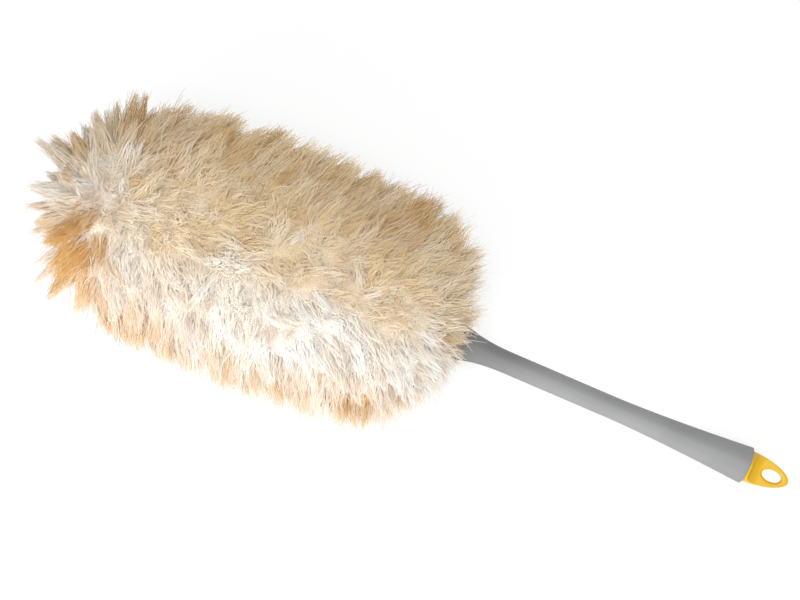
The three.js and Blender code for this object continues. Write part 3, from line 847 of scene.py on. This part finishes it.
strand = {
    "sides": 3,
    "joints": 5,
    "rootRadius": 0.00042,
    "tipRadius": 0.00010,
    "taper": 1.5,
    "start": 0.22,  # of the lock's length, where its strands leave its soft body
    "ownShade": 0.07,
    "lockShade": 0.18,
    "mapWidth": 0.012,
    "innermost": 0.25, "spreadOut": 0.85,  # of the lock's radius, where its strands run
    "longest": 1.06, "shortest": 0.55,
    "closeAt": 1.02,  # of the lock's length, where its strands would meet
    "ripple": 14,
    "rest": 0.0012, "restSpread": 0.004,  # over the floor
}
core = {
    "sides": 7,
    "joints": 6,
    "rootRadius": 0.0042,
    "end": 0.74,  # of the lock's length
    "flutes": 0.16, "fluteCount": 3, "fluteTwist": 5,
    "mapWidth": 0.012,
    "rest": 0.004,  # over the floor
}
locks = {
    "spacing": 0.0110,
    "jitter": 0.40,
    "strands": 25,
    "length": 0.048,
    "noseLength": 0.070,
    "rumpLength": 0.040,
    "sweep": 0.026,  # of a lock's tip behind its root
    "earlySweep": 0.3, "turn": 0.55,  # how much of that a lock has, and where, as it bends
    "nose": (0.24, 0.09), "rump": (-0.03, 0.025),  # as the undercoat's
    "anyWay": (0.31, 0.57, 0.76),  # that the locks' own sides are set by
    "radius": 0.0072,
    "closing": 2.0, "fullness": 0.9,  # how late and how roundly a lock draws in to its tip
    "tipScatter": 0.0019,
    "lengthSpread": 0.14,
    "unevenness": 0.0030, "ownUnevenness": 0.002,
    "noseRagged": 2.2,
    "clumping": 0.0038,
    "lean": 0.0022,
    "topLean": 3.0,
    "droop": 0.015, "noseDroop": 0.5,  # of a lock's tip at the wool's sides, and its share in front
    "gatherSpacing": 0.024,
    "gatherShape": (1.0, 1.0, 0.55),  # how much a way along, across or up keeps locks apart
    "gather": 0.28, "sideGather": 0.45, "noseGather": 0.86, "rumpGather": 0.12,
    "wave": 0.0016,
    "strays": 0.09,
    "strayScatter": 0.006,
    "noseSleek": 0.55,  # how much closer together the nose's strands end
    "widest": 0.101,  # from here outwards the wool is pressed back to a share
    "highest": 0.172,  # and from here up
    "squeeze": 0.35,
    "pressSpread": 0.85,  # of how far wool is lifted off the floor, what it spreads sideways
    "handleStart": -0.004, "handleGap": 0.0012,
    "seed": 11,
}
lockColors = {
    "toneSpread": 0.08, "tanSpread": 0.10,
    "upperBorder": 0.16, "lowerBorder": 0.32,  # tan along the wool's borders
    "topShare": 0.35,  # of the tufts' own colours, on top, where the sides have all
    "tuftTone": 0.13, "tuftTan": 0.09, "tuftTanUpper": 0.09, "tuftTanNose": 0.11,
    "floorFade": ((0.03, 0.07), (0.4, 1.0)),  # two heights over the floor, and the tan's share
    "tanChance": 0.05, "tanRise": 0.35,  # of a single lock
}


def placeLocks(draw, spacing):
    steps = np.hypot(np.diff(outlineAhead), np.diff(outlineRadius))
    travelled = np.concatenate([[0], np.cumsum(steps)])
    rows = int(travelled[-1] / spacing)
    ahead, radius, angle = [], [], []
    for row in range(rows):
        place = (row + 0.5) * spacing
        out = np.interp(place, travelled, outlineRadius)
        count = max(3, round(2 * math.pi * out / spacing))
        turn = np.arange(count) + draw.uniform() + draw.uniform(-1, 1, count) * locks["jitter"]
        spots = place + draw.uniform(-1, 1, count) * locks["jitter"] * spacing
        ahead.append(np.interp(spots, travelled, outlineAhead))
        radius.append(np.interp(spots, travelled, outlineRadius))
        angle.append(turn / count * 2 * math.pi)
    return np.concatenate(ahead), np.concatenate(radius), np.concatenate(angle)


# Neighbouring locks draw together at their tips, most of all at the nose
def gatherTips(draw, sites, tips, nose, side, rump):
    leaders = aroundHead(*placeLocks(draw, locks["gatherSpacing"]))
    apart = np.linalg.norm((sites[:, None] - leaders[None]) * locks["gatherShape"], axis=2)
    chosen = np.argmin(apart, axis=1)
    middles = np.array(leaders)
    for leader in np.unique(chosen):
        middles[leader] = tips[chosen == leader].mean(axis=0)
    pull = locks["gather"] + (locks["sideGather"] - locks["gather"]) * side
    pull = pull + (locks["noseGather"] - pull) * nose
    pull = (pull + (locks["rumpGather"] - pull) * rump)[:, None]
    return tips + (middles[chosen] - tips) * pull, chosen


# How beige each lock is, and how tan at its tip
def colorLocks(draw, ahead, angle, tips, tuft, nose, side):
    count = len(ahead)
    tone, upperHalf = toneAt(ahead, tips)
    tone = tone + draw.normal(size=count) * lockColors["toneSpread"]
    tan = np.zeros(count)
    for patchAhead, patchAcross, spread, strength in tanPatches:
        away = np.hypot(ahead - patchAhead, tips[:, 1] - patchAcross)
        tan = np.maximum(tan, strength * np.exp(-(away / spread) ** 2))
    border = np.where(np.sin(angle) > 0, lockColors["upperBorder"], lockColors["lowerBorder"])
    tan = tan + border * np.abs(np.sin(angle)) ** 4
    tan = tan + draw.normal(size=count) * lockColors["tanSpread"]
    share = lockColors["topShare"] + (1 - lockColors["topShare"]) * side
    own = draw.normal(size=(tuft.max() + 1, 2))[tuft] * share[:, None]
    tan = tan + own[:, 0] * (lockColors["tuftTan"] + lockColors["tuftTanUpper"] * upperHalf
                             + lockColors["tuftTanNose"] * nose)
    tan = tan * np.interp(heightOverFloor(tips), *lockColors["floorFade"])
    tone = tone + own[:, 1] * lockColors["tuftTone"]
    picked = draw.uniform(size=count) < lockColors["tanChance"]
    return np.clip(tone, *wool["toneEnds"]), np.where(picked, tan + lockColors["tanRise"], tan)


# Every lock's own values: the three points that its curve follows, its colour and its shade
def growLocks(draw):
    ahead, radius, angle = placeLocks(draw, locks["spacing"])
    count = len(ahead)
    sites = aroundHead(ahead, radius, angle)
    rodEnds = head["spineStart"], head["rodFront"]
    spine = spineSpots(np.clip(ahead + locks["sweep"], *rodEnds))
    ways = normal(sites - spine)
    first = normal(np.cross(ways, np.array(locks["anyWay"])))
    second = np.cross(ways, first)
    upwards = np.clip(ways @ np.array(floorUp), 0, 1) ** 2
    leaning = locks["lean"] * (1 + locks["topLean"] * upwards)
    clump = [waver(sites, kind) * locks["clumping"] + draw.normal(size=count) * leaning
             for kind in ("leanFirst", "leanSecond")]
    nose = shareOf(ahead, *locks["nose"])
    rump = shareOf(-ahead, *locks["rump"])
    side = np.abs(np.sin(angle)) ** 3
    uneven = (waver(sites, "reach") * locks["unevenness"]
              + draw.normal(size=count) * locks["ownUnevenness"])
    uneven = uneven * (1 + locks["noseRagged"] * nose)
    tips = sites + ways * uneven[:, None] + first * clump[0][:, None] + second * clump[1][:, None]
    tips, tuft = gatherTips(draw, sites, tips, nose, side, rump)
    droop = locks["droop"] * side * (1 - (1 - locks["noseDroop"]) * nose)
    tips = tips - np.array(floorUp) * droop[:, None]
    lengths = (locks["length"] + (locks["noseLength"] - locks["length"]) * nose
               + (locks["rumpLength"] - locks["length"]) * rump)
    lengths = np.minimum(lengths, np.linalg.norm(tips - spine, axis=1) - head["boreRadius"])
    roots = sites - ways * lengths[:, None]
    early = spineSpots(np.clip(ahead + locks["earlySweep"] * locks["sweep"], *rodEnds))
    middles = roots + normal(sites - early) * lengths[:, None] * locks["turn"]
    tone, tan = colorLocks(draw, ahead, angle, tips, tuft, nose, side)
    return {
        "ahead": ahead, "shade": softNormals(ahead, sites), "first": first, "second": second,
        "points": (roots, middles, tips), "tone": tone, "tan": tan,
        "nose": nose, "phase": draw.uniform(0, 2 * math.pi, count),
    }


def lockCurve(points, q):
    a, b, c = (point[:, None] for point in points)
    q = q[..., None]
    return a * (1 - q) ** 2 + b * 2 * q * (1 - q) + c * q ** 2


def lockRadius(q, widest):
    return widest * np.clip(1 - np.clip(q, 0, 1) ** locks["closing"], 0, 1) ** locks["fullness"]


# Wool keeps off the floor, and off the handle behind its mouth
def keepClear(spots, rest):
    spots = pressOnFloor(spots, rest, locks["pressSpread"])
    side = spots[..., 1] + mouthPoint.y
    beyond = np.maximum(np.abs(side) - locks["widest"], 0)
    spots[..., 1] -= np.sign(side) * beyond * (1 - locks["squeeze"])
    above = np.maximum(heightOverFloor(spots) - locks["highest"], 0)[..., None]
    spots = spots - np.array(floorUp) * above * (1 - locks["squeeze"])
    off = np.linalg.norm(spots[..., 1:], axis=-1)
    need = handleOutline(np.maximum(spots[..., 0], 0)) + locks["handleGap"]
    need = np.where(spots[..., 0] > locks["handleStart"], need, 0.0)
    away = normal(spots * np.array([0, 1, 1]))
    return spots + away * np.maximum(need - off, 0)[..., None]


# Copies of a pattern, each with its own middle line, sides, widths, tone, band and shade
def makeCopies(name, pattern, parts, mapWidth, node):
    count = len(parts["curve"])
    joint = np.rint(pattern["height"] * pattern["joints"]).astype(int)
    aside = (parts["first"][:, None] * np.cos(pattern["angle"])[None, :, None]
             + parts["second"][:, None] * np.sin(pattern["angle"])[None, :, None])
    spots = parts["curve"][:, joint] + aside * (parts["widths"] * pattern["reach"][None])[..., None]
    corners = [corner for face in pattern["faces"] for corner in face]
    sizes = [len(face) for face in pattern["faces"]]
    starts = np.concatenate([[0], np.cumsum(sizes)[:-1]])
    copies = np.arange(count)[:, None]
    mesh = bpy.data.meshes.new(name)
    mesh.vertices.add(spots.shape[0] * spots.shape[1])
    mesh.vertices.foreach_set("co", spots.astype(np.float32).ravel())
    loops = (np.array(corners)[None] + copies * spots.shape[1]).ravel()
    mesh.loops.add(len(loops))
    mesh.loops.foreach_set("vertex_index", loops.astype(np.int32))
    mesh.polygons.add(count * len(sizes))
    starts = (starts[None] + copies * len(corners)).ravel()
    mesh.polygons.foreach_set("loop_start", starts.astype(np.int32))
    mesh.update(calc_edges=True)
    flat = np.array(pattern["map"])
    across = parts["tone"][:, None] + (flat[None, :, 0] - 0.5) * mapWidth
    upwards = parts["band"][:, None] + wool["mapStart"] + wool["mapReach"] * flat[None, :, 1]
    addMap(mesh, across, upwards / wool["bands"])
    mesh.validate()
    mesh.materials.append(woolMaterial)
    mesh.transform(dusterFrame)
    mesh.shade_smooth()
    # wool is shaded by the soft form that it makes together more than by each strand's own side
    setNormals(mesh, normal(parts["shade"][:, None] + aside * strand["ownShade"]))
    addPiece(name, mesh, "duster", "fleece_wool", node)


def makeStrands(name, chosen, wisps, node):
    height = strandPattern["height"]
    width = strand["rootRadius"] + (strand["tipRadius"] - strand["rootRadius"]) * (
        height ** strand["taper"])
    parts = {key: value[chosen] for key, value in wisps.items()}
    parts["widths"] = np.broadcast_to(width, (len(chosen), len(width)))
    makeCopies(name, strandPattern, parts, strand["mapWidth"], node)


def makeCores(name, chosen, tufts, node):
    q = np.linspace(0, core["end"], core["joints"] + 1)
    q = np.broadcast_to(q, (len(chosen), len(q)))
    curve = lockCurve([point[chosen] for point in tufts["points"]], q)
    along = corePattern["height"] * core["end"]
    turn = (core["fluteCount"] * corePattern["angle"][None] + tufts["phase"][chosen][:, None]
            + core["fluteTwist"] * along[None])
    widths = lockRadius(along / core["end"], core["rootRadius"])[None] * (
        1 + core["flutes"] * np.sin(turn))
    parts = {key: tufts[key][chosen] for key in ("first", "second", "tone", "band", "shade")}
    parts["curve"] = keepClear(curve, core["rest"])
    parts["widths"] = widths
    makeCopies(name, corePattern, parts, core["mapWidth"], node)


def pickBand(tan, chance):
    return np.clip(np.floor(tan * (wool["bands"] - 1) + chance), 0, wool["bands"] - 1)


def splitStrands(tufts, draw):
    lock = np.repeat(np.arange(len(tufts["ahead"])), locks["strands"])
    total = len(lock)
    first, second = tufts["first"][lock], tufts["second"][lock]
    turn = draw.uniform(0, 2 * math.pi, total)
    aside = first * np.cos(turn)[:, None] + second * np.sin(turn)[:, None]
    reach = strand["innermost"] + strand["spreadOut"] * np.sqrt(draw.uniform(0, 1, total))
    stray = draw.uniform(size=total) < locks["strays"]
    scatter = draw.normal(size=(total, 3)) * np.where(
        stray, locks["strayScatter"], locks["tipScatter"])[:, None]
    scatter = scatter * (1 - locks["noseSleek"] * tufts["nose"][lock])[:, None]
    longer = strand["longest"] - np.abs(draw.normal(size=total)) * locks["lengthSpread"]
    longer = np.clip(longer, strand["shortest"], strand["longest"])
    levels = np.linspace(0, 1, strand["joints"] + 1)
    q = strand["start"] + (longer[:, None] - strand["start"]) * levels[None]
    curve = lockCurve([point[lock] for point in tufts["points"]], q)
    width = lockRadius(q / strand["closeAt"], locks["radius"]) * reach[:, None]
    curve = curve + aside[:, None] * width[..., None]
    curve = curve + scatter[:, None] * (q ** 2)[..., None]
    ripple = np.sin(draw.uniform(0, 2 * math.pi, total)[:, None] + q * strand["ripple"])
    curve = curve + first[:, None] * (ripple * locks["wave"] * q)[..., None]
    rest = strand["rest"] + strand["restSpread"] * draw.uniform(size=total)
    curve = keepClear(curve, rest[:, None])
    tone = tufts["tone"][lock] + draw.normal(size=total) * wool["strandTone"]
    return {
        "curve": curve, "first": first, "second": second,
        "tone": np.clip(tone, *wool["toneEnds"]),
        "band": pickBand(tufts["tan"][lock], draw.uniform(size=total)),
        "ahead": tufts["ahead"][lock],
        "shade": tufts["shade"][lock] + aside * strand["lockShade"],
    }


# Named as the solids they stand for, from the tip; where each starts ahead of the mouth
slices = [
    ("fleece_tip", 0.262),
    ("fleece_front", 0.174),
    ("fleece_middle", 0.085),
    ("fleece_rear", -math.inf),
]
mostStrands = 5500  # to a piece
strandPattern = makeConePattern(strand["sides"], strand["joints"])
corePattern = makeConePattern(core["sides"], core["joints"])


def makeWool():
    draw = np.random.default_rng(locks["seed"])
    tufts = growLocks(draw)
    tufts["band"] = pickBand(tufts["tan"], draw.uniform(size=len(tufts["tan"])))
    wisps = splitStrands(tufts, draw)
    end = math.inf
    for node, start in slices:
        inside = np.nonzero((wisps["ahead"] >= start) & (wisps["ahead"] < end))[0]
        pieces = math.ceil(len(inside) / mostStrands)
        for number, chosen in enumerate(np.array_split(inside, pieces)):
            makeStrands(f"{node}_strands_{number + 1}", chosen, wisps, node)
        inside = np.nonzero((tufts["ahead"] >= start) & (tufts["ahead"] < end))[0]
        makeCores(f"{node}_locks", inside, tufts, node)
        end = start
    print("locks:", len(tufts["ahead"]), "strands:", len(wisps["tone"]))


makeWool()
print("wool grown")
